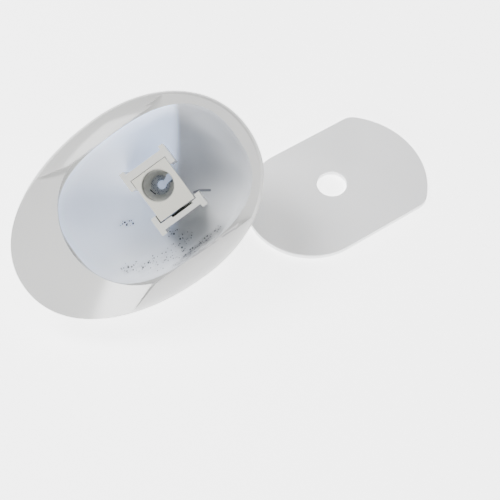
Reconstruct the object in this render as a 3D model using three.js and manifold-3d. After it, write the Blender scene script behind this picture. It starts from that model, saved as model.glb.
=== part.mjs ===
// An egg-shaped pencil sharpener, open, with its sliding lid lying beside it. Millimetres, +Z up.
// The table is the plane z = 0, and the origin is the centre of the flat that the shell stands on.
//
// The shell is drawn in its own frame: x along the egg towards the blunt end, where the lid slides in,
// y across the lid's channel, and z out of the mouth, with z = 0 on the seat that the lid slides over.
// The shell then leans and turns as a whole, so that its flat lies on the table.

import * as THREE from "three";
import { mergeVertices } from "three/addons/utils/BufferGeometryUtils.js";
import Module from "manifold-3d";

const wasm = await Module();
wasm.setup();

// How the shell stands
const LEAN = THREE.MathUtils.degToRad(35.7);
const ROLL = THREE.MathUtils.degToRad(2.3);
const TURN = THREE.MathUtils.degToRad(36);
const SHELL_PLACE = new THREE.Vector3(5.11, -0.46, 27.2);

// The egg
const EGG_CENTRE = 4;
const EGG_BLUNT = 31.6;
const EGG_SLIM = 39.6;
const EGG_HALF_WIDTH = 24.8;
const GIRTH_Z = -3;
const DOME_RISE = 9.6;
const EGG_DEPTH = 27.5;
const EGG_PLAN_POWER = 2.1;
const EGG_SIDE_POWER = 2.15;

// The bowl
const BOWL_CENTRE = 6.2;
const BOWL_HALF_LENGTH = 25.5;
const BOWL_HALF_WIDTH = 18.6;
const BOWL_DEPTH = 26.5;
const BOWL_PLAN_POWER = 2.6;
const BOWL_SIDE_POWER = 2.6;

// The lid and its channel
const LID_THICKNESS = 1.8;
const LID_HALF_WIDTH = 18.8;
const LID_HOLE_DIAMETER = 8.6;
const LID_INNER_REACH = 27.4;
const LID_OUTER_REACH = 27.8;
const LID_OUTER_ARC = 24;
const LID_CORNER = 5;
const LID_HOLE_OFFSET = 1.2;
const LID_EDGE = 0.4;
const LID_PLACE = new THREE.Vector3(58.7, 24.2, 0);
const LID_TURN = THREE.MathUtils.degToRad(33);
const CHANNEL_HALF_WIDTH = 18.4;
const GROOVE_HALF_WIDTH = 19.3;
const GROOVE_HEIGHT = LID_THICKNESS + 0.3;
const CHANNEL_END = 19.6;
const DISH_OUTER_RADIUS = 36;
const DISH_DROP = 5;
const DISH_FLARE_START = -7;
const DISH_FLARE_SLOPE = 0.28;
const ROUND_END_SEGMENTS = 64;

// The pencil's way through the insert
const PENCIL_AXIS = new THREE.Vector2(8, 1.4);
const GUIDE_RADIUS = 4.15;
const GUIDE_LENGTH = 7;
const APEX_RADIUS = 1.2;

// The insert
const INSERT_TOP = -1;
const INSERT_LENGTH = 23.5;
const INSERT_LOW = new THREE.Vector2(3.1, -6.6);
const INSERT_HIGH = new THREE.Vector2(13.7, 6.2);
const COLLAR_LENGTH = 4;
const CONE_SLOPE = (GUIDE_RADIUS - APEX_RADIUS) / (INSERT_LENGTH - GUIDE_LENGTH);
const CONE_ANGLE = Math.atan(CONE_SLOPE);
const CONE_SEGMENTS = 36;
const BED_CUT = 0.15;

// The blade and its screw
const BLADE_GAP = 0.3;
const BLADE_THICKNESS = 0.6;
const BLADE_BACK = -6.3;
const BLADE_EDGE = 0.85;
const BLADE_BEVEL = 0.8;
const BLADE_TOP = 2.3;
const BLADE_BOTTOM = -15.9;
const SCREW_PLACE = new THREE.Vector2(-4, -6.8);
const SCREW_RADIUS = 1.1;
const SCREW_HOLE_RADIUS = 1.45;
const SCREW_DEPTH = 3.4;
const SCREW_HOLE_DEPTH = 4;
const SCREW_HOLE_SEGMENTS = 20;
const SCREW_SEGMENTS = 28;
const HEAD_RADIUS = 2.1;
const HEAD_HEIGHT = 1.1;
const HEAD_CHAMFER = 0.4;
const SLOT_WIDTH = 0.6;
const SLOT_DEPTH = 0.5;

// The two posts that hold the insert
const POST_TOP = -1.2;
const POST_FOOT = -27.5;
const POST_GAP = 0.35;
const WEB_THICKNESS = 1.9;
const FLANGE_THICKNESS = 1.5;
const FLANGE_INWARD = 2.4;
const SHORT_FLANGE_INWARD = 1;
const FLANGE_OUTWARD = 1;
const LEDGE_WIDTH = 1.6;
const RECESS_DEPTH = 0.55;
const RECESS_LOW = new THREE.Vector2(6.2, -12);
const RECESS_END = 12.6;

// A cutter runs this far past what it cuts, and pieces of one moulding are let this far into each other.
const PAST = 1;
const CLEAR_OF_SHELL = 60;
const JOIN = 0.1;

// Helpers: geometry to solid, solid to named mesh

function solid(geometry) {
  const bare = geometry.clone();
  bare.deleteAttribute("normal");
  bare.deleteAttribute("uv");
  const merged = mergeVertices(bare, 1e-4);
  return new wasm.Manifold(
    new wasm.Mesh({
      numProp: 3,
      vertProperties: new Float32Array(merged.attributes.position.array),
      triVerts: new Uint32Array(merged.index.array),
    }),
  );
}

function meshOf(name, body, material) {
  const { numProp, numVert, vertProperties, triVerts } = body.getMesh();
  const positions = new Float32Array(numVert * 3);
  for (let i = 0; i < numVert; i++) {
    positions.set(vertProperties.subarray(i * numProp, i * numProp + 3), i * 3);
  }
  const geometry = new THREE.BufferGeometry();
  geometry.setAttribute("position", new THREE.BufferAttribute(positions, 3));
  geometry.setIndex(new THREE.BufferAttribute(triVerts, 1));
  geometry.computeVertexNormals();
  const mesh = new THREE.Mesh(geometry, material);
  mesh.name = name;
  return mesh;
}

// A box between two corners.
function block(x0, y0, z0, x1, y1, z1) {
  const geometry = new THREE.BoxGeometry(x1 - x0, y1 - y0, z1 - z0);
  geometry.translate((x0 + x1) / 2, (y0 + y1) / 2, (z0 + z1) / 2);
  return solid(geometry);
}

// A solid of revolution about the z axis, from [radius, z] pairs that start and end on the axis.
function turned(profile, segments) {
  const points = profile.map(([radius, z]) => new THREE.Vector2(radius, z));
  return new THREE.LatheGeometry(points, segments).rotateX(Math.PI / 2);
}

// A closed rounded body: a sphere drawn out to its own half-length at each end, half-width, rise and
// depth. Powers above 2 make its plan (planPower) and its section (sidePower) fuller than an ellipse.
function roundBody(size, segments, rings) {
  const geometry = new THREE.SphereGeometry(1, segments, rings).rotateX(Math.PI / 2);
  const position = geometry.attributes.position;
  const fuller = (value, power) => Math.sign(value) * Math.abs(value) ** (2 / power);
  for (let i = 0; i < position.count; i++) {
    const z = THREE.MathUtils.clamp(position.getZ(i), -1, 1);
    const around = Math.atan2(position.getY(i), position.getX(i));
    const reach = fuller(Math.sqrt(1 - z * z), size.sidePower);
    const x = reach * fuller(Math.cos(around), size.planPower);
    const y = reach * fuller(Math.sin(around), size.planPower);
    const height = fuller(z, size.sidePower);
    position.setXYZ(
      i,
      size.centre + x * (x > 0 ? size.blunt : size.slim),
      y * size.halfWidth,
      size.z + height * (height > 0 ? size.rise : size.depth),
    );
  }
  return solid(geometry);
}

// Materials

const whitePlastic = new THREE.MeshStandardMaterial({ color: 0xf2f2f0, roughness: 0.28 });
const ivoryPlastic = new THREE.MeshStandardMaterial({ color: 0xeeecdc, roughness: 0.5 });
const bladeSteel = new THREE.MeshStandardMaterial({ color: 0x8f9296, roughness: 0.35, metalness: 1 });
const screwSteel = new THREE.MeshStandardMaterial({ color: 0xb3b0a8, roughness: 0.4, metalness: 1 });

// The shell's frame on the table

const stance = new THREE.Group();
stance.position.copy(SHELL_PLACE);
stance.rotation.set(LEAN, ROLL, TURN);
stance.updateMatrix();

// The shell: an egg with a bowl, a channel for the lid, and the insert's posts in one moulding

function channelCutter() {
  const far = CLEAR_OF_SHELL;
  const passage = block(0, -CHANNEL_HALF_WIDTH, 0, far, CHANNEL_HALF_WIDTH, far);
  const groove = block(0, -GROOVE_HALF_WIDTH, 0, far, GROOVE_HALF_WIDTH, GROOVE_HEIGHT);
  const disc = turned([[0, 0], [CHANNEL_END, 0], [CHANNEL_END, far], [0, far]], ROUND_END_SEGMENTS);
  const roundEnd = solid(disc).intersect(
    block(-far, -CHANNEL_HALF_WIDTH, -PAST, far, CHANNEL_HALF_WIDTH, far + PAST),
  );
  return passage.add(groove).add(roundEnd);
}

// Past the channel's round end the top slopes down and away to the rim, as a place for a thumb, and
// flares as it goes.
function thumbDishCutter() {
  const far = CLEAR_OF_SHELL;
  const cone = turned(
    [
      [0, LID_THICKNESS],
      [CHANNEL_END, LID_THICKNESS],
      [DISH_OUTER_RADIUS, LID_THICKNESS - DISH_DROP],
      [DISH_OUTER_RADIUS, far],
      [0, far],
    ],
    ROUND_END_SEGMENTS,
  );
  const near = CHANNEL_HALF_WIDTH + DISH_FLARE_START * DISH_FLARE_SLOPE;
  const wide = near + far * DISH_FLARE_SLOPE;
  const plan = new THREE.Shape([
    new THREE.Vector2(0, -near),
    new THREE.Vector2(0, near),
    new THREE.Vector2(-far, wide),
    new THREE.Vector2(-far, -wide),
  ]);
  const flared = new THREE.ExtrudeGeometry(plan, { depth: 2 * far, bevelEnabled: false });
  return solid(cone).intersect(solid(flared.translate(0, 0, -far)));
}

// One I-section post: a web along the insert's side and a flange at each end that hooks round it. The post
// at side -1 has one short flange, and a recess in its web where a fingernail can start the insert.
function post(side) {
  const face = side > 0 ? INSERT_HIGH.y : INSERT_LOW.y;
  const webNear = face + side * POST_GAP;
  const webFar = webNear + side * WEB_THICKNESS;
  const inner = webNear - side * FLANGE_INWARD;
  const rightInner = side > 0 ? inner : webNear - side * SHORT_FLANGE_INWARD;
  const outer = webFar + side * FLANGE_OUTWARD;
  const span = (a, b) => [Math.min(a, b), Math.max(a, b)];
  const [webLow, webHigh] = span(webNear, webFar);
  const [flangeLow, flangeHigh] = span(inner, outer);
  const [rightLow, rightHigh] = span(rightInner, outer);
  const [ledgeLow, ledgeHigh] = span(webFar, webNear - side * LEDGE_WIDTH);
  const left = INSERT_LOW.x - POST_GAP;
  const right = INSERT_HIGH.x + POST_GAP;
  const ledgeTop = INSERT_TOP - INSERT_LENGTH - POST_GAP;
  const whole = block(left - JOIN, webLow, POST_FOOT, right + JOIN, webHigh, POST_TOP)
    .add(block(left - FLANGE_THICKNESS, flangeLow, POST_FOOT, left, flangeHigh, POST_TOP))
    .add(block(right, rightLow, POST_FOOT, right + FLANGE_THICKNESS, rightHigh, POST_TOP))
    .add(block(left - JOIN, ledgeLow, POST_FOOT, right + JOIN, ledgeHigh, ledgeTop));
  if (side > 0) return whole;
  return whole.subtract(
    block(RECESS_LOW.x, webNear - RECESS_DEPTH, RECESS_LOW.y, RECESS_END, webNear + PAST, PAST),
  );
}

function shellSolid() {
  const egg = roundBody(
    {
      centre: EGG_CENTRE,
      blunt: EGG_BLUNT,
      slim: EGG_SLIM,
      halfWidth: EGG_HALF_WIDTH,
      z: GIRTH_Z,
      rise: DOME_RISE,
      depth: EGG_DEPTH,
      planPower: EGG_PLAN_POWER,
      sidePower: EGG_SIDE_POWER,
    },
    48,
    32,
  );
  const bowl = roundBody(
    {
      centre: BOWL_CENTRE,
      blunt: BOWL_HALF_LENGTH,
      slim: BOWL_HALF_LENGTH,
      halfWidth: BOWL_HALF_WIDTH,
      z: 0.01,
      rise: 1,
      depth: BOWL_DEPTH,
      planPower: BOWL_PLAN_POWER,
      sidePower: BOWL_SIDE_POWER,
    },
    40,
    28,
  );
  const far = CLEAR_OF_SHELL;
  const table = new THREE.BoxGeometry(2 * far, 2 * far, far).translate(0, 0, -far / 2);
  table.applyMatrix4(stance.matrix.clone().invert());
  const posts = egg.intersect(post(1).add(post(-1)));
  return egg
    .subtract(channelCutter())
    .subtract(thumbDishCutter())
    .subtract(bowl)
    .add(posts)
    .subtract(solid(table));
}

// The insert: a block with the pencil's guide and cone, and a sloped bed that opens into the cone

// The bed's frame: z up along the slope, x out of the bed, with its origin where the cone starts.
const bed = new THREE.Group();
bed.position.set(PENCIL_AXIS.x + GUIDE_RADIUS - BED_CUT, 0, INSERT_TOP - GUIDE_LENGTH);
bed.rotation.y = CONE_ANGLE;
bed.updateMatrix();

// The screw's hole, from one distance out of the bed to another, in the bed's frame.
function screwHole(inner, outer) {
  return new THREE.CylinderGeometry(
    SCREW_HOLE_RADIUS,
    SCREW_HOLE_RADIUS,
    outer - inner,
    SCREW_HOLE_SEGMENTS,
  )
    .rotateZ(Math.PI / 2)
    .translate((inner + outer) / 2, SCREW_PLACE.x, SCREW_PLACE.y);
}

function insertSolid() {
  const bottom = INSERT_TOP - INSERT_LENGTH;
  const body = block(INSERT_LOW.x, INSERT_LOW.y, bottom, INSERT_HIGH.x, INSERT_HIGH.y, INSERT_TOP);
  const way = turned(
    [
      [0, bottom - PAST],
      [APEX_RADIUS, bottom - PAST],
      [APEX_RADIUS, bottom],
      [GUIDE_RADIUS, INSERT_TOP - GUIDE_LENGTH],
      [GUIDE_RADIUS, INSERT_TOP + PAST],
      [0, INSERT_TOP + PAST],
    ],
    CONE_SEGMENTS,
  ).translate(PENCIL_AXIS.x, PENCIL_AXIS.y, 0);
  const far = CLEAR_OF_SHELL;
  const bedTop = GUIDE_LENGTH - COLLAR_LENGTH;
  const bedCut = new THREE.BoxGeometry(far, far, far).translate(far / 2, 0, bedTop - far / 2);
  bedCut.applyMatrix4(bed.matrix);
  const hole = screwHole(-SCREW_HOLE_DEPTH, PAST).applyMatrix4(bed.matrix);
  return body.subtract(solid(way)).subtract(solid(bedCut)).subtract(solid(hole));
}

function bladeSolid() {
  const inner = BLADE_GAP;
  const outer = BLADE_GAP + BLADE_THICKNESS;
  const section = new THREE.Shape([
    new THREE.Vector2(inner, BLADE_BACK),
    new THREE.Vector2(outer, BLADE_BACK),
    new THREE.Vector2(outer, BLADE_EDGE - BLADE_BEVEL),
    new THREE.Vector2(inner, BLADE_EDGE),
  ]);
  const plate = new THREE.ExtrudeGeometry(section, {
    depth: BLADE_TOP - BLADE_BOTTOM,
    bevelEnabled: false,
  }).translate(0, 0, BLADE_BOTTOM);
  return solid(plate).subtract(solid(screwHole(inner - PAST, outer + PAST)));
}

function screwSolid() {
  const headUnder = BLADE_GAP + BLADE_THICKNESS + BLADE_GAP;
  const profile = [
    [0, -SCREW_DEPTH],
    [SCREW_RADIUS, -SCREW_DEPTH],
    [SCREW_RADIUS, headUnder],
    [HEAD_RADIUS, headUnder],
    [HEAD_RADIUS, headUnder + HEAD_HEIGHT - HEAD_CHAMFER],
    [HEAD_RADIUS - HEAD_CHAMFER, headUnder + HEAD_HEIGHT],
    [0, headUnder + HEAD_HEIGHT],
  ];
  const body = turned(profile, SCREW_SEGMENTS).rotateY(Math.PI / 2);
  const slot = new THREE.BoxGeometry(SLOT_DEPTH * 2, HEAD_RADIUS * 3, SLOT_WIDTH);
  slot.translate(headUnder + HEAD_HEIGHT, 0, 0);
  return solid(body).subtract(solid(slot));
}

// The lid: a flat plate with a round inner end, a blunter outer end that follows the egg, and one hole

function lidOutline() {
  const innerCentre = LID_HALF_WIDTH - LID_INNER_REACH;
  const outerCentre = LID_OUTER_REACH - LID_OUTER_ARC;
  const cornerY = LID_HALF_WIDTH - LID_CORNER;
  const cornerX = outerCentre + Math.sqrt((LID_OUTER_ARC - LID_CORNER) ** 2 - cornerY ** 2);
  const lean = Math.atan2(cornerY, cornerX - outerCentre);
  const shape = new THREE.Shape();
  shape.absarc(outerCentre, 0, LID_OUTER_ARC, -lean, lean, false);
  shape.absarc(cornerX, cornerY, LID_CORNER, lean, Math.PI / 2, false);
  shape.absarc(innerCentre, 0, LID_HALF_WIDTH, Math.PI / 2, (3 * Math.PI) / 2, false);
  shape.absarc(cornerX, -cornerY, LID_CORNER, (3 * Math.PI) / 2, 2 * Math.PI - lean, false);
  return shape;
}

function lidSolid() {
  const plate = new THREE.ExtrudeGeometry(lidOutline(), {
    depth: LID_THICKNESS - 2 * LID_EDGE,
    bevelThickness: LID_EDGE,
    bevelSize: LID_EDGE,
    bevelOffset: -LID_EDGE,
    bevelSegments: 2,
    curveSegments: 14,
  }).translate(0, 0, LID_EDGE);
  const radius = LID_HOLE_DIAMETER / 2;
  const drill = new THREE.CylinderGeometry(radius, radius, LID_THICKNESS * 4, 40);
  drill.rotateX(Math.PI / 2).translate(0, LID_HOLE_OFFSET, 0);
  return solid(plate).subtract(solid(drill));
}

// The assembly

stance.add(meshOf("shell", shellSolid(), whitePlastic));
stance.add(meshOf("sharpener_block", insertSolid(), ivoryPlastic));
bed.add(meshOf("blade", bladeSolid(), bladeSteel));
const screw = meshOf("blade_screw", screwSolid(), screwSteel);
screw.position.set(0, SCREW_PLACE.x, SCREW_PLACE.y);
bed.add(screw);
stance.add(bed);

const lid = meshOf("lid", lidSolid(), whitePlastic);
lid.position.copy(LID_PLACE);
lid.rotation.z = LID_TURN;

const sharpener = new THREE.Group();
sharpener.add(stance, lid);

export default sharpener;
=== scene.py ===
"""An egg-shaped pencil sharpener, open, with its sliding lid lying beside it.

The shell, the block, the blade, its screw and the lid are modelled here in full detail round the
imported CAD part, and each piece stands for the CAD node of the same place. Sizes are in millimetres in
the shell's own frame: x along the egg towards its blunt end, y across the lid's channel and z out of
the mouth, with z = 0 on the seat that the lid slides over.
"""

import math

import bpy
from mathutils import Matrix, Vector


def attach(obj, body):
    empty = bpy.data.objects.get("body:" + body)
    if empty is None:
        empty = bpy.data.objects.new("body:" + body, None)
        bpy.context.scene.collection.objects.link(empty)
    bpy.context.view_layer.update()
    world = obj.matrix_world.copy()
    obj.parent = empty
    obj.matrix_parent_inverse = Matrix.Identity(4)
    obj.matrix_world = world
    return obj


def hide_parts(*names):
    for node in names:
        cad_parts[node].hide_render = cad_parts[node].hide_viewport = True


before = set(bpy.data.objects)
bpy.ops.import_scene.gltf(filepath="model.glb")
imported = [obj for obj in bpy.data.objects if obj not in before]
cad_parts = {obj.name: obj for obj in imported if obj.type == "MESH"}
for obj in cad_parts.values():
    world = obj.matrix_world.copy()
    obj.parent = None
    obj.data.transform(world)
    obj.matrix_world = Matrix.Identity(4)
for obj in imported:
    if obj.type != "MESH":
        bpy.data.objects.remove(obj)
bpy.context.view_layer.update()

MM = 0.001

# How the shell stands on the table, and the frame of the bed that the blade lies on
STANCE = (
    Matrix.Translation(Vector((5.11, -0.46, 27.2)) * MM)
    @ Matrix.Rotation(math.radians(35.7), 4, "X")
    @ Matrix.Rotation(math.radians(2.3), 4, "Y")
    @ Matrix.Rotation(math.radians(36), 4, "Z")
)
PENCIL_X, PENCIL_Y = 8, 1.4
GUIDE_RADIUS, GUIDE_LENGTH, APEX_RADIUS = 4.15, 7, 1.2
INSERT_TOP, INSERT_BOTTOM = -1, -24.5
CONE_ANGLE = math.atan((GUIDE_RADIUS - APEX_RADIUS) / (INSERT_TOP - GUIDE_LENGTH - INSERT_BOTTOM))
BED = (
    STANCE
    @ Matrix.Translation(Vector((PENCIL_X + GUIDE_RADIUS - 0.15, 0, INSERT_TOP - GUIDE_LENGTH)) * MM)
    @ Matrix.Rotation(CONE_ANGLE, 4, "Y")
)
SCREW_PLACE = Matrix.Translation((0, -4 * MM, -6.8 * MM))
SCREW_TURN = Matrix.Rotation(math.pi / 2, 4, "Y")
SCREW_HOLE_RADIUS = 1.45
CONE_STEP_DEPTH, CONE_STEP = 7.5, 0.1
BLADE_LOW, BLADE_HIGH, BLADE_BEVEL = (0.3, -6.3, -15.9), (0.9, 0.85, 2.3), 0.8

EGG = {
    "centre": (4, 0, -3),
    "ahead": 31.6,
    "behind": 39.6,
    "side": 24.8,
    "up": 9.6,
    "down": 27.5,
    "plan_power": 2.1,
    "side_power": 2.15,
}
BOWL = {
    "centre": (6.2, 0, 0.01),
    "ahead": 25.5,
    "behind": 25.5,
    "side": 18.6,
    "up": 1,
    "down": 26.5,
    "plan_power": 2.6,
    "side_power": 2.6,
}
LID_THICKNESS, LID_HALF_WIDTH, LID_HOLE_RADIUS = 1.8, 18.8, 4.3
LID_INNER_REACH, LID_OUTER_REACH, LID_END_RADIUS, LID_CORNER_RADIUS = 27.4, 27.8, 24, 5
CHANNEL_HALF_WIDTH, GROOVE_HALF_WIDTH, GROOVE_HEIGHT, CHANNEL_END = 18.4, 19.3, 2.1, 19.6
DISH_RADIUS, DISH_DROP, FLARE_START, FLARE_SLOPE = 36, 5, -7, 0.28

# The block between its posts, and the posts' own thicknesses and reaches
BLOCK_LEFT, BLOCK_RIGHT, BLOCK_LOW, BLOCK_HIGH = 3.1, 13.7, -6.6, 6.2
POST_BOTTOM, POST_TOP, POST_OVERLAP = -27.5, -1.2, 0.1
UPPER_GAP, LOWER_GAP = 0.15, 0.35
WEB, FLANGE, FLANGE_OUTWARD, HOOK, SHORT_HOOK = 2.25, 1.5, 1, 2.4, 1
LEDGE, LEDGE_DROP = 1.6, 0.35
RECESS_LEFT, RECESS_RIGHT, RECESS_BOTTOM, RECESS_DEPTH = 6.2, 12.6, -12, 0.55

SHARP_ANGLE = math.radians(35)
MERGE = 0.005


# --- modelling helpers ---


def only(piece):
    bpy.ops.object.select_all(action="DESELECT")
    piece.select_set(True)
    bpy.context.view_layer.objects.active = piece


def added(name):
    piece = bpy.context.object
    piece.name = name
    piece.data.name = name
    bpy.ops.object.transform_apply(location=True, rotation=True, scale=True)
    return piece


def bar(name, low, high):
    """A box between two corners."""
    bpy.ops.object.select_all(action="DESELECT")
    centre = [(a + b) / 2 * MM for a, b in zip(low, high)]
    size = [(b - a) * MM for a, b in zip(low, high)]
    bpy.ops.mesh.primitive_cube_add(size=1, location=centre, scale=size)
    return added(name)


def drum(name, radius, bottom, top, sides, y=0):
    """An upright cylinder."""
    bpy.ops.object.select_all(action="DESELECT")
    bpy.ops.mesh.primitive_cylinder_add(
        vertices=sides,
        radius=radius * MM,
        depth=(top - bottom) * MM,
        location=(0, y * MM, (top + bottom) / 2 * MM),
    )
    return added(name)


def edit(piece, what="FACE"):
    only(piece)
    bpy.ops.object.mode_set(mode="EDIT")
    bpy.ops.mesh.select_mode(type=what)
    bpy.ops.mesh.select_all(action="DESELECT")
    bpy.ops.object.mode_set(mode="OBJECT")


def pick_faces(piece, wanted):
    """Selects the faces that pass a test on centre and normal, and stays in edit mode."""
    edit(piece)
    for face in piece.data.polygons:
        face.select = wanted(face.center / MM, face.normal)
    bpy.ops.object.mode_set(mode="EDIT")


def pick_points(piece, wanted):
    edit(piece, "VERT")
    for vertex in piece.data.vertices:
        vertex.select = wanted(vertex.co / MM)
    bpy.ops.object.mode_set(mode="EDIT")


def done():
    bpy.ops.object.mode_set(mode="OBJECT")


def boolean(piece, tool, operation):
    only(piece)
    modifier = piece.modifiers.new("boolean", "BOOLEAN")
    modifier.operation = operation
    modifier.object = tool
    modifier.solver = "EXACT"
    bpy.ops.object.modifier_apply(modifier=modifier.name)
    bpy.data.objects.remove(tool)


def trim(piece, point, normal):
    """Cuts away what lies on the far side of a plane, and closes the cut."""
    pick_faces(piece, lambda centre, direction: True)
    bpy.ops.mesh.bisect(
        plane_co=Vector(point) * MM,
        plane_no=normal,
        use_fill=True,
        clear_outer=True,
        threshold=1e-6,
    )
    done()


def tidy(piece):
    """Merges points that lie together, and drops faces without area."""
    only(piece)
    bpy.ops.object.mode_set(mode="EDIT")
    bpy.ops.mesh.select_all(action="SELECT")
    bpy.ops.mesh.remove_doubles(threshold=MERGE * MM)
    bpy.ops.mesh.dissolve_degenerate(threshold=MERGE * MM / 2)
    bpy.ops.object.mode_set(mode="OBJECT")


def soften(piece, width, segments=3):
    """Rounds the sharp edges, and shades the rest smooth."""
    only(piece)
    bpy.ops.object.shade_smooth()
    modifier = piece.modifiers.new("rounded", "BEVEL")
    modifier.width = width * MM
    modifier.segments = segments
    modifier.limit_method = "ANGLE"
    modifier.angle_limit = SHARP_ANGLE
    modifier.use_clamp_overlap = True
    bpy.ops.object.modifier_apply(modifier=modifier.name)
    modifier = piece.modifiers.new("weighted", "WEIGHTED_NORMAL")
    modifier.weight = 80
    bpy.ops.object.modifier_apply(modifier=modifier.name)


def turn_outwards(piece):
    """Flips a closed mesh whose faces point inwards, which its signed volume shows."""
    corners = [vertex.co for vertex in piece.data.vertices]
    volume = 0
    for face in piece.data.polygons:
        first, *rest = [corners[i] for i in face.vertices]
        for second, third in zip(rest, rest[1:]):
            volume += first.dot(second.cross(third))
    if volume < 0:
        pick_faces(piece, lambda centre, direction: True)
        bpy.ops.mesh.flip_normals()
        done()


def put(piece, place):
    """Moves a finished mesh to its place, leaving its object at the origin."""
    only(piece)
    piece.matrix_world = place
    bpy.ops.object.transform_apply(location=True, rotation=True, scale=True)


def round_body(name, shape, segments, rings):
    """A sphere drawn out to its own reach on each side, a little fuller than an ellipsoid."""
    bpy.ops.object.select_all(action="DESELECT")
    bpy.ops.mesh.primitive_uv_sphere_add(segments=segments, ring_count=rings, radius=1)
    body = added(name)

    def fuller(value, power):
        return math.copysign(abs(value) ** (2 / power), value)

    cx, cy, cz = shape["centre"]
    for vertex in body.data.vertices:
        x, y, z = vertex.co
        around = math.atan2(y, x)
        reach = fuller(math.sqrt(max(0, 1 - z * z)), shape["side_power"])
        along = reach * fuller(math.cos(around), shape["plan_power"])
        across = reach * fuller(math.sin(around), shape["plan_power"])
        height = fuller(z, shape["side_power"])
        vertex.co = (
            (cx + along * (shape["ahead"] if along > 0 else shape["behind"])) * MM,
            (cy + across * shape["side"]) * MM,
            (cz + height * (shape["up"] if height > 0 else shape["down"])) * MM,
        )
    return body


# --- the shell ---


def channel_cutter():
    cutter = bar("channel_cutter", (0, -CHANNEL_HALF_WIDTH, 0), (60, CHANNEL_HALF_WIDTH, 60))
    groove = bar("groove_cutter", (0, -GROOVE_HALF_WIDTH, 0), (61, GROOVE_HALF_WIDTH, GROOVE_HEIGHT))
    round_end = drum("round_end_cutter", CHANNEL_END, 0, 59, 160)
    for side in (1, -1):
        trim(round_end, (0, side * CHANNEL_HALF_WIDTH, 0), (0, side, 0))
    boolean(cutter, groove, "UNION")
    boolean(cutter, round_end, "UNION")
    return cutter


def thumb_dish_cutter():
    """The slope from the channel's round end down to the rim, flaring as it goes."""
    cutter = drum("thumb_dish_cutter", DISH_RADIUS, LID_THICKNESS - DISH_DROP, 60, 160)
    pick_faces(cutter, lambda centre, direction: direction.z < -0.9)
    bpy.ops.mesh.inset(thickness=(DISH_RADIUS - CHANNEL_END) * MM)
    bpy.ops.transform.translate(value=(0, 0, DISH_DROP * MM))
    done()
    trim(cutter, (0, 0, 0), (1, 0, 0))
    for side in (1, -1):
        trim(cutter, (FLARE_START, side * CHANNEL_HALF_WIDTH, 0), (FLARE_SLOPE, side, 0))
    return cutter


def post(side):
    """An I-section post: a web, a hooked flange at each end, and a ledge under the block."""
    upper = side > 0
    gap = UPPER_GAP if upper else LOWER_GAP
    face = BLOCK_HIGH if upper else BLOCK_LOW
    near = face + side * gap
    far = face + side * WEB
    left, right = BLOCK_LEFT - gap, BLOCK_RIGHT + gap
    hook = near - side * HOOK
    right_hook = hook if upper else near - side * SHORT_HOOK

    def slab(name, x_low, x_high, one_y, other_y, top=POST_TOP):
        y_low, y_high = sorted((one_y, other_y))
        return bar(name, (x_low, y_low, POST_BOTTOM), (x_high, y_high, top))

    web_left, web_right = left - POST_OVERLAP, right + POST_OVERLAP
    whole = slab("post", web_left, web_right, near, far)
    for low, high, reach in ((left - FLANGE, left, hook), (right, right + FLANGE, right_hook)):
        boolean(whole, slab("flange", low, high, reach, far + side * FLANGE_OUTWARD), "UNION")
    ledge_edge = near - side * LEDGE
    ledge = slab("ledge", web_left, web_right, far, ledge_edge, INSERT_BOTTOM - LEDGE_DROP)
    boolean(whole, ledge, "UNION")
    tidy(whole)
    soften(whole, 0.45, 4)
    if not upper:
        recess_low = (RECESS_LEFT, near - RECESS_DEPTH, RECESS_BOTTOM)
        recess = bar("web_recess", recess_low, (RECESS_RIGHT, near + 1, 0))
        boolean(whole, recess, "DIFFERENCE")
    return whole


def make_shell():
    egg = round_body("egg_shell", EGG, 160, 112)
    posts = [post(1), post(-1)]
    for one in posts:
        only(egg)
        bpy.ops.object.duplicate()
        boolean(one, bpy.context.object, "INTERSECT")
    boolean(egg, channel_cutter(), "DIFFERENCE")
    boolean(egg, thumb_dish_cutter(), "DIFFERENCE")
    boolean(egg, round_body("bowl_cutter", BOWL, 128, 96), "DIFFERENCE")
    for one in posts:
        boolean(egg, one, "UNION")
    put(egg, STANCE)
    trim(egg, (0, 0, 0), (0, 0, -1))
    tidy(egg)
    soften(egg, 0.3)
    return egg


# --- the sharpener's block, blade and screw ---


def turned(name, profile, steps):
    """A solid of revolution about z, from (radius, z) pairs that start and end on the axis."""
    bpy.ops.object.select_all(action="DESELECT")
    bpy.ops.mesh.primitive_circle_add(vertices=len(profile), radius=1, fill_type="NOTHING")
    piece = added(name)
    for vertex, (radius, z) in zip(piece.data.vertices, profile):
        vertex.co = (radius * MM, 0, z * MM)
    pick_points(piece, lambda point: True)
    bpy.ops.mesh.spin(steps=steps, angle=2 * math.pi, center=(0, 0, 0), axis=(0, 0, 1))
    bpy.ops.mesh.select_all(action="SELECT")
    bpy.ops.mesh.remove_doubles(threshold=0.001 * MM)
    bpy.ops.mesh.delete_loose()
    bpy.ops.mesh.normals_make_consistent(inside=False)
    done()
    turn_outwards(piece)
    return piece


def pencil_way():
    """The guide, then the cone with one small step, then the hole at its point."""
    cone_top = INSERT_TOP - GUIDE_LENGTH
    slope = math.tan(CONE_ANGLE)
    step = cone_top - CONE_STEP_DEPTH
    step_radius = GUIDE_RADIUS - slope * CONE_STEP_DEPTH
    return turned(
        "pencil_way",
        [
            (0, INSERT_BOTTOM - 1),
            (APEX_RADIUS, INSERT_BOTTOM - 1),
            (APEX_RADIUS, INSERT_BOTTOM),
            (step_radius, step),
            (step_radius + CONE_STEP, step),
            (GUIDE_RADIUS, cone_top),
            (GUIDE_RADIUS, INSERT_TOP + 1),
            (0, INSERT_TOP + 1),
        ],
        72,
    )


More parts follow.
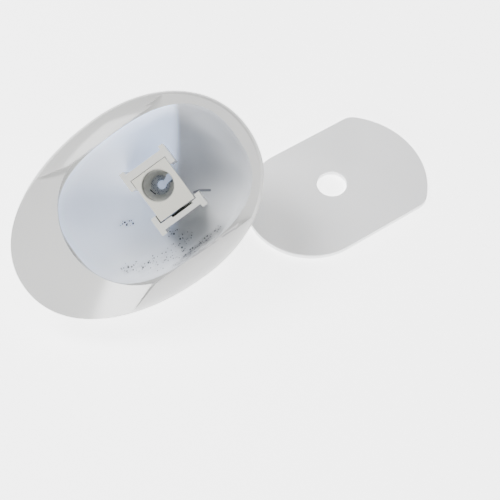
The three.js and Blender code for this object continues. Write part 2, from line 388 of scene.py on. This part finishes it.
def make_block():
    block = bar("block", (BLOCK_LEFT, BLOCK_LOW, INSERT_BOTTOM), (BLOCK_RIGHT, BLOCK_HIGH, INSERT_TOP))
    way = pencil_way()
    put(way, Matrix.Translation((PENCIL_X * MM, PENCIL_Y * MM, 0)))
    boolean(block, way, "DIFFERENCE")
    put(block, STANCE)
    bed_cut = bar("bed_cut", (0, -30, -60), (60, 30, 3))
    put(bed_cut, BED)
    boolean(block, bed_cut, "DIFFERENCE")
    hole = drum("screw_hole", SCREW_HOLE_RADIUS, -4, 1, 40)
    put(hole, BED @ SCREW_PLACE @ SCREW_TURN)
    boolean(block, hole, "DIFFERENCE")
    tidy(block)
    soften(block, 0.18)
    return block


def make_blade():
    blade = bar("cutting_blade", BLADE_LOW, BLADE_HIGH)
    pick_points(blade, lambda point: point.x > BLADE_LOW[0] + 0.1 and point.y > 0)
    bpy.ops.transform.translate(value=(0, -BLADE_BEVEL * MM, 0))
    done()
    hole = drum("blade_hole", SCREW_HOLE_RADIUS, -1, 2, 40)
    put(hole, SCREW_PLACE @ SCREW_TURN)
    boolean(blade, hole, "DIFFERENCE")
    tidy(blade)
    soften(blade, 0.03, 2)
    put(blade, BED)
    return blade


def make_screw():
    screw = turned(
        "clamp_screw",
        [
            (0, -3.4),
            (0.8, -3.4),
            (1.1, -3.0),
            (1.1, 1.2),
            (2.1, 1.2),
            (2.1, 1.9),
            (1.7, 2.3),
            (0, 2.3),
        ],
        48,
    )
    slot = bar("slot_cutter", (-4, -0.3, 1.8), (4, 0.3, 4))
    boolean(screw, slot, "DIFFERENCE")
    tidy(screw)
    soften(screw, 0.06, 2)
    put(screw, BED @ SCREW_PLACE @ SCREW_TURN)
    return screw


# --- the lid ---


def lid_outline():
    """The lid's outline: a round inner end, and a blunter outer end with rounded corners."""
    inner_centre = LID_HALF_WIDTH - LID_INNER_REACH
    outer_centre = LID_OUTER_REACH - LID_END_RADIUS
    corner_y = LID_HALF_WIDTH - LID_CORNER_RADIUS
    corner_x = outer_centre + math.sqrt((LID_END_RADIUS - LID_CORNER_RADIUS) ** 2 - corner_y**2)
    lean = math.atan2(corner_y, corner_x - outer_centre)

    def arc(x, y, radius, start, end, count):
        angles = [start + (end - start) * i / count for i in range(count + 1)]
        return [(x + radius * math.cos(a), y + radius * math.sin(a)) for a in angles]

    return (
        arc(outer_centre, 0, LID_END_RADIUS, -lean, lean, 48)
        + arc(corner_x, corner_y, LID_CORNER_RADIUS, lean, math.pi / 2, 16)
        + arc(inner_centre, 0, LID_HALF_WIDTH, math.pi / 2, 1.5 * math.pi, 96)
        + arc(corner_x, -corner_y, LID_CORNER_RADIUS, 1.5 * math.pi, 2 * math.pi - lean, 16)
    )


def make_lid():
    outline = lid_outline()
    bpy.ops.object.select_all(action="DESELECT")
    bpy.ops.mesh.primitive_circle_add(vertices=len(outline), radius=1, fill_type="NGON")
    lid = added("lid_plate")
    for vertex, (x, y) in zip(lid.data.vertices, outline):
        vertex.co = (x * MM, y * MM, 0)
    pick_faces(lid, lambda centre, direction: True)
    bpy.ops.mesh.extrude_region_move(TRANSFORM_OT_translate={"value": (0, 0, LID_THICKNESS * MM)})
    bpy.ops.mesh.select_all(action="SELECT")
    bpy.ops.mesh.remove_doubles(threshold=0.001 * MM)
    bpy.ops.mesh.normals_make_consistent(inside=False)
    done()
    boolean(lid, drum("lid_hole_cutter", LID_HOLE_RADIUS, -2, 4, 96, y=1.2), "DIFFERENCE")
    tidy(lid)
    soften(lid, 0.4, 4)
    beside = Matrix.Translation(Vector((58.7, 24.2, 0)) * MM)
    put(lid, beside @ Matrix.Rotation(math.radians(33), 4, "Z"))
    return lid


# --- materials ---


SQUAT = 0.3

# Base colours of the shell's one white plastic: lips and posts painted darker as shade, the bowl wall
# painted lighter as light, the blunt-end wall with painted shade, a painted shadow, smear, graphite and
# a painted glow
LIPS_PAINTED_SHADE, LIPS_VARIED_PAINTED_SHADE = (0.55, 0.55, 0.54, 1), (0.525, 0.525, 0.52, 1)
POSTS_PAINTED_SHADE = (0.61, 0.61, 0.575, 1)
WALL_PAINTED_LIGHT = (0.93, 0.95, 0.98, 1)
BLUNT_PAINTED_LIGHT, BLUNT_PAINTED_SHADE = (0.88, 0.89, 0.9, 1), (0.68, 0.69, 0.71, 1)
POST_PAINTED_SHADOW, SMEAR_AND_PAINTED_SHADE, GRAPHITE = (0.36, 0.38, 0.41, 1), (0.22, 0.22, 0.24, 1), (0.02, 0.02, 0.025, 1)
BLACK, PAINTED_GLOW_COLOUR = (0, 0, 0, 1), (0.78, 1, 1.5, 1)

# Where dust lies in the bowl: how much, the reach that is full, where it ends, and its path
DUST = (
    (0.95, 0.8, 2.6, [(0, -17.8, -9), (13, -17.6, -9)]),
    (0.3, 0.8, 3.6, [(-9, -14.5, -15), (4, -16, -15)]),
    (0.45, 0.4, 2, [(-13, -11.5, -15.2), (-1, -16, -16.4)]),
    (0.6, 0.4, 2.2, [(2.5, -11.5, -23), (5.6, -14.3, -20.2)]),
    (0.4, 0.3, 1.6, [(-7.7, -0.7, -24.2), (-5.5, -1.7, -25.1)]),
)
HOOK_DUST = [(14, -5.6, -25), (15.6, -6.1, -25), (17.9, -7.7, -24)]
# the path of a painted shade line along the lower lip's inner edge
LIP_EDGE_PAINTED_SHADE = [(-0.4, -18.4, -0.5), (5, -18.5, 3.7), (15, -18.8, 2.8), (22.6, -19.5, -0.3)]


class Value:
    """A shader socket that can be added, subtracted, multiplied and divided like a number."""

    def __init__(self, shader, socket):
        self.shader = shader
        self.socket = socket

    def _math(self, operation, first, second):
        node = self.shader.node("ShaderNodeMath", {"operation": operation}, {0: first, 1: second})
        return node["Value"]

    def __add__(self, other):
        return self._math("ADD", self, other)

    def __radd__(self, other):
        return self._math("ADD", other, self)

    def __sub__(self, other):
        return self._math("SUBTRACT", self, other)

    def __rsub__(self, other):
        return self._math("SUBTRACT", other, self)

    def __mul__(self, other):
        return self._math("MULTIPLY", self, other)

    def __truediv__(self, other):
        return self._math("DIVIDE", self, other)

    def most(self, other):
        return self._math("MAXIMUM", self, other)


class Shader:
    """A material's node tree, with one method that adds any node."""

    def __init__(self, name):
        self.material = bpy.data.materials.new(name)
        self.material.use_nodes = True
        self.tree = self.material.node_tree
        self.tree.nodes.clear()
        self.output = self.tree.nodes.new("ShaderNodeOutputMaterial")

    def node(self, kind, settings=None, inputs=None):
        made = self.tree.nodes.new(kind)
        for key, value in (settings or {}).items():
            setattr(made, key, value)
        for key, value in (inputs or {}).items():
            if isinstance(value, Value):
                self.tree.links.new(value.socket, made.inputs[key])
            else:
                made.inputs[key].default_value = value
        return Outputs(self, made)

    def vector(self, operation, inputs):
        return self.node("ShaderNodeVectorMath", {"operation": operation}, inputs)

    def between(self, value, low, high):
        """0 up to low, 1 from high, and smooth in between."""
        return self.node(
            "ShaderNodeMapRange",
            {"interpolation_type": "SMOOTHSTEP"},
            {"Value": value, "From Min": low, "From Max": high},
        )["Result"]

    def noise(self, where, scale, detail=2):
        return self.node(
            "ShaderNodeTexNoise",
            {},
            {"Vector": where, "Scale": scale, "Detail": detail, "Roughness": 0.5},
        )["Fac"]

    def mix(self, factor, first, second):
        return self.node(
            "ShaderNodeMix",
            {"data_type": "RGBA"},
            {"Factor": factor, 6: first, 7: second},
        ).at(2)

    def bump(self, strength, distance, height):
        inputs = {"Strength": strength, "Distance": distance, "Height": height}
        return self.node("ShaderNodeBump", {}, inputs)["Normal"]

    def finish(self, inputs):
        """Gives the material its surface, and returns the material."""
        surface = self.node("ShaderNodeBsdfPrincipled", {}, inputs)["BSDF"]
        self.tree.links.new(surface.socket, self.output.inputs["Surface"])
        return self.material


class Outputs:
    """What a node gives, by name or by place."""

    def __init__(self, shader, made):
        self.shader = shader
        self.made = made

    def __getitem__(self, name):
        return Value(self.shader, self.made.outputs[name])

    def at(self, index):
        return Value(self.shader, self.made.outputs[index])


def near_line(shader, where, start, end, inner, outer):
    """1 close to the line between two points, 0 past the outer distance."""
    along = end - start
    offset = shader.vector("SUBTRACT", {0: where, 1: start})["Vector"]
    share = shader.vector("DOT_PRODUCT", {0: offset, 1: along})["Value"]
    reach = {"Value": share, "From Max": along.length_squared}
    held = shader.node("ShaderNodeMapRange", {"clamp": True}, reach)["Result"]
    step = shader.vector("SCALE", {0: along, "Scale": held})["Vector"]
    off = shader.vector("DISTANCE", {0: offset, 1: step})["Value"]
    return 1 - shader.between(off, inner, outer)


def specks(shader, squat, amount, scale):
    """Small grains: more of them where the amount is high."""
    cells = shader.node(
        "ShaderNodeTexVoronoi", {}, {"Vector": squat, "Scale": scale, "Randomness": 1}
    )
    chance = shader.node("ShaderNodeSeparateColor", {}, {"Color": cells["Color"]})["Red"]
    held = shader.between(amount - chance, 0.0, 0.06)
    grain = 1 - shader.between(cells["Distance"], 0.26, 0.44)
    return held * grain


def white_plastic(name, base, shade, roughness):
    """Glossy moulded white: a slow change of tone, a faint haze and fine handling scratches."""
    shader = Shader(name)
    where = shader.node("ShaderNodeTexCoord")["Object"]
    broad = shader.noise(where, 38, 2)
    fine = shader.noise(where, 900, 3)
    colour = shader.mix(shader.between(broad, 0.35, 0.7), base, shade)
    brushed = shader.node(
        "ShaderNodeMapping",
        {},
        {"Vector": where, "Rotation": (0.3, 0.2, 0.7), "Scale": (1, 14, 4)},
    )["Vector"]
    scratches = shader.between(shader.noise(brushed, 260, 4), 0.6, 0.75)
    rough = roughness + broad * 0.06 + fine * 0.04 + scratches * 0.06
    return shader, where, broad, colour, rough


def white_surface(shader, broad, colour, rough, painted_glow=(0, 0, 0, 1)):
    return shader.finish(
        {
            "Base Color": colour,
            "Roughness": rough,
            "IOR": 1.5,
            "Normal": shader.bump(0.04, 0.0002, broad),
            "Subsurface Weight": 0.1,
            "Subsurface Radius": (1.0, 0.95, 0.9),
            "Subsurface Scale": 0.0012,
            "Emission Color": painted_glow,
            "Emission Strength": 1,
        }
    )



def lid_plastic():
    shader, _, broad, colour, rough = white_plastic(
        "lid_white", (0.91, 0.915, 0.92, 1), (0.87, 0.875, 0.88, 1), 0.16
    )
    return white_surface(shader, broad, colour, rough)


def shell_frame(shader, where):
    """The shell's own x, y and z, in millimetres, at each point."""
    origin = STANCE.to_translation()
    offset = shader.vector("SUBTRACT", {0: where, 1: origin})["Vector"]
    axes = STANCE.to_3x3().transposed()
    return [shader.vector("DOT_PRODUCT", {0: offset, 1: axis})["Value"] / MM for axis in axes]



def squatted(shader, x, y, z):
    """The shell's frame with less depth, so that grains lie drawn out down the steep walls."""
    return shader.node("ShaderNodeCombineXYZ", {}, {"X": x, "Y": y, "Z": z * SQUAT})["Vector"]


def bowl_share(shader, x, y, z):
    """How far out towards the bowl's wall a point is: 1 on the wall."""

    def part(value, centre, reach):
        share = shader.node("ShaderNodeMath", {"operation": "ABSOLUTE"}, {0: (value - centre) / reach})
        power = {0: share["Value"], 1: BOWL["side_power"]}
        return shader.node("ShaderNodeMath", {"operation": "POWER"}, power)["Value"]

    centre_x, centre_y, _ = BOWL["centre"]
    across = part(y, centre_y, BOWL["side"])
    return part(x, centre_x, BOWL["ahead"]) + across + part(z, 0, BOWL["down"])



def from_axis(shader, x, y):
    """The distance from the pencil's axis, in millimetres."""
    offset = {"X": x - PENCIL_X, "Y": y - PENCIL_Y}
    across = shader.node("ShaderNodeCombineXYZ", {}, offset)["Vector"]
    return shader.vector("LENGTH", {0: across})["Value"]



def near_path(shader, squat, points, inner, outer):
    """1 close to a path through the shell's own points, 0 past the outer distance."""
    path = [Vector((x, y, z * SQUAT)) for x, y, z in points]
    found = None
    for start, end in zip(path, path[1:]):
        stretch = near_line(shader, squat, start, end, inner, outer)
        found = found.most(stretch) if found else stretch
    return found


def dust_amount(shader, squat):
    amount = None
    for share, inner, outer, points in DUST:
        stretch = near_path(shader, squat, points, inner, outer) * share
        amount = amount.most(stretch) if amount else stretch
    return amount


def shell_plastic():
    shader, where, broad, lip_colour_painted_shade, rough = white_plastic("shell_white", LIPS_PAINTED_SHADE, LIPS_VARIED_PAINTED_SHADE, 0.12)
    x, y, z = shell_frame(shader, where)
    share = bowl_share(shader, x, y, z)
    bowl = (1 - shader.between(share, 1.1, 1.3)) * shader.between(0 - z, 0.1, 1.6)
    posts = 1 - shader.between(share, 0.8, 0.93)

    # painted light and shade: the bowl wall painted lighter with a painted cool glow, the blunt end's
    # wall and the posts painted darker, and a painted shadow under the lower post
    painted_light_side = 1 - shader.between(x * 0.8 - y * 0.6, 8.4, 11)
    # painted shade: the bowl wall darker towards the blunt end
    blunt = shader.mix(shader.between(y, -12, -2), BLUNT_PAINTED_LIGHT, BLUNT_PAINTED_SHADE)
    # the lips painted darker as shade and the bowl wall painted lighter as light, on one white plastic
    colour = shader.mix(bowl, lip_colour_painted_shade, shader.mix(painted_light_side, blunt, WALL_PAINTED_LIGHT))
    # the posts painted darker as shade
    colour = shader.mix(posts, colour, POSTS_PAINTED_SHADE)
    # a painted glow: light painted onto the lighter side of the wall
    painted_glow_amount = painted_light_side * bowl * (1 - posts) * shader.between(y, -16, 0)
    painted_glow_amount = painted_glow_amount * (0.28 + shader.between(x * 0.6 + y * 0.8, 12, 21) * 0.35)
    squat = squatted(shader, x, y, z)
    # a painted shadow under the lower post
    post_painted_shadow = near_path(shader, squat, [(4, -12.5, -22), (9.5, -14, -21)], 1.5, 5.5)

    # dust in two sizes of grain, the smear that goes with it, and a painted shade line along the lower
    # lip's inner edge
    patchy = shader.between(shader.noise(where, 300, 2), 0.36, 0.58)
    amount = dust_amount(shader, squat) * (0.3 + patchy * 0.7) + 0.01
    dust = specks(shader, squat, amount, 2).most(specks(shader, squat, amount * 0.6, 1.2))
    hook = near_path(shader, squat, HOOK_DUST, 0.2, 0.5)
    smear = (amount * shader.noise(where, 420, 3) * 0.9).most(hook * 0.9)
    # a painted shade line along the lower lip's inner edge, broken up by noise
    lip_edge_painted_shade = near_path(shader, squat, LIP_EDGE_PAINTED_SHADE, 0.12, 0.3)
    lip_edge_painted_shade = lip_edge_painted_shade * shader.between(shader.noise(where, 330, 2), 0.35, 0.55)

    # the painted shadow under the lower post
    colour = shader.mix(post_painted_shadow * 0.55, colour, POST_PAINTED_SHADOW)
    # smear, and the painted shade line by the lower lip, in one dark tone
    colour = shader.mix(smear.most(lip_edge_painted_shade * 0.7), colour, SMEAR_AND_PAINTED_SHADE)
    colour = shader.mix(dust * 0.95, colour, GRAPHITE)
    # the painted glow, kept off the dust and smear
    painted_glow = shader.mix(painted_glow_amount * (1 - dust) * (1 - smear), BLACK, PAINTED_GLOW_COLOUR)
    return white_surface(shader, broad, colour, rough + dust * 0.4, painted_glow)


def ivory_plastic():
    shader = Shader("ivory_plastic")
    where = shader.node("ShaderNodeTexCoord")["Object"]
    broad = shader.noise(where, 90, 2)
    fine = shader.noise(where, 1500, 3)
    x, y, z = shell_frame(shader, where)
    radius = from_axis(shader, x, y)
    colour = shader.mix(broad, (0.59, 0.585, 0.52, 1), (0.55, 0.545, 0.48, 1))
    colour = shader.mix(1 - shader.between(radius, 4.05, 4.2), colour, (0.93, 0.93, 0.88, 1))
    deep = 1 - shader.between(radius, 2.55, 2.8)
    film = (0.02 + deep * 0.4) * (0.3 + shader.noise(where, 500, 3))
    rim = shader.between(radius, 4.08, 4.16) * (1 - shader.between(radius, 4.3, 4.42))
    squat = squatted(shader, x, y, z)
    # a black line painted in the cone for a slit: painted shade standing for the dark of the slit
    slit_painted_shade = near_path(shader, squat, [(5.1, 1.8, -14.9), (5.5, 0.3, -15.5)], 0.14, 0.28)
    film = film.most(rim * 0.45)
    colour = shader.mix(film, colour, (0.2, 0.2, 0.19, 1))
    dust = specks(shader, squat, deep * 0.4 + 0.03, 2.6)
    colour = shader.mix((dust * 0.9).most(slit_painted_shade), colour, (0.02, 0.02, 0.02, 1))
    return shader.finish(
        {
            "Base Color": colour,
            "Roughness": 0.38 + broad * 0.16,
            "IOR": 1.5,
            "Normal": shader.bump(0.1, 0.0002, fine),
        }
    )



def steel(name, base, worn, stretch):
    shader = Shader(name)
    where = shader.node("ShaderNodeTexCoord")["Object"]
    stretched = shader.node("ShaderNodeMapping", {}, {"Vector": where, "Scale": stretch})["Vector"]
    grain = shader.noise(stretched, 900, 3)
    broad = shader.noise(where, 300, 2)
    colour = shader.mix(grain * 0.6 + broad * 0.4, base, worn)
    return shader.finish(
        {
            "Base Color": colour,
            "Metallic": 1,
            "Roughness": 0.26 + grain * 0.2,
            "Normal": shader.bump(0.15, 0.0001, grain),
        }
    )



def pale_floor():
    return Shader("pale_floor").finish(
        {
            "Base Color": (0.95, 0.95, 0.95, 1),
            "Roughness": 0.9,
            "Emission Color": (1, 1, 1, 1),
            "Emission Strength": 3.3,
        }
    )



def dress(piece, material, node, body):
    piece.data.materials.clear()
    piece.data.materials.append(material)
    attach(piece, body)
    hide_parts(node)


# --- the object ---

dress(make_shell(), shell_plastic(), "shell", "shell")
dress(make_block(), ivory_plastic(), "sharpener_block", "insert")
blade_steel = steel("blade_steel", (0.5, 0.51, 0.53, 1), (0.36, 0.37, 0.39, 1), (1, 1, 12))
dress(make_blade(), blade_steel, "blade", "insert")
screw_steel = steel("screw_steel", (0.62, 0.6, 0.55, 1), (0.5, 0.48, 0.44, 1), (1, 1, 1))
dress(make_screw(), screw_steel, "blade_screw", "screw")
dress(make_lid(), lid_plastic(), "lid", "lid")

# --- the stage, the light and the camera ---

bpy.ops.object.select_all(action="DESELECT")
bpy.ops.mesh.primitive_plane_add(size=4, location=(0, 0, -0.00005))
floor = bpy.context.object
floor.name = "floor"
floor.data.materials.append(pale_floor())


def softbox(name, place, aim, width, height, watts):
    bpy.ops.object.light_add(type="AREA", location=place)
    light = bpy.context.object
    light.name = name
    light.data.shape = "RECTANGLE"
    light.data.size = width
    light.data.size_y = height
    light.data.energy = watts
    light.rotation_euler = (Vector(aim) - Vector(place)).to_track_quat("-Z", "Y").to_euler()


centre = (0.02, 0.01, 0.02)
softbox("key_softbox", (-0.38, 0.17, 0.68), centre, 0.35, 0.35, 7.4)
softbox("overhead_softbox", (0.05, 0.1, 0.8), centre, 0.25, 0.25, 2.8)
softbox("front_window", (-0.038, -0.599, 0.161), (0.003, -0.018, 0.016), 0.25, 0.08, 3)

world = bpy.data.worlds.new("studio")
bpy.context.scene.world = world
world.use_nodes = True
world.node_tree.nodes["Background"].inputs["Color"].default_value = (0.97, 0.98, 1, 1)
world.node_tree.nodes["Background"].inputs["Strength"].default_value = 0.3

bpy.ops.object.camera_add(location=(0.03434, -0.14537, 0.24333), rotation=(math.radians(31.5), 0, 0))
camera = bpy.context.object
camera.name = "camera"
camera.data.sensor_width = 36
camera.data.lens = 73.27
camera.data.clip_start = 0.01
camera.data.clip_end = 10
bpy.context.scene.camera = camera

bpy.context.view_layer.update()
